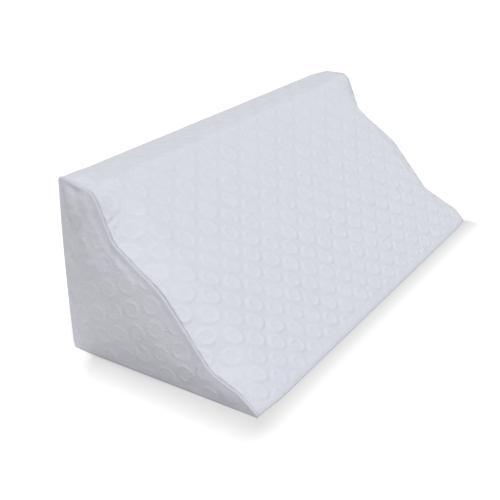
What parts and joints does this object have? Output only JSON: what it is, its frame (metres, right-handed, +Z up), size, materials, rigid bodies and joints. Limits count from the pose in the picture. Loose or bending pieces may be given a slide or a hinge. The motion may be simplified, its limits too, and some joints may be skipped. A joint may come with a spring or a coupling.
{
  "type": "wedge pillow",
  "caption": "Long wedge-shaped support pillow with a taut sloping face and wavy end seams, covered in a pale ring-embossed knit and closed by a wedge-shaped panel at each end.",
  "frame": {"origin": "middle of the flat base, on the surface that the pillow rests on", "axes": "+Z up; X runs along the pillow, with the end seen in the picture at -X; -Y points to the thin toe and +Y to the upright back"},
  "size_m": [0.6122, 0.2578, 0.2086],
  "materials": {
    "embossed_knit": "matt white knit with a slight sheen"
  },
  "bodies": {
    "root": {"wrap_panel": "embossed_knit", "left_end_panel": "embossed_knit", "right_end_panel": "embossed_knit"}
  },
  "joints": []
}
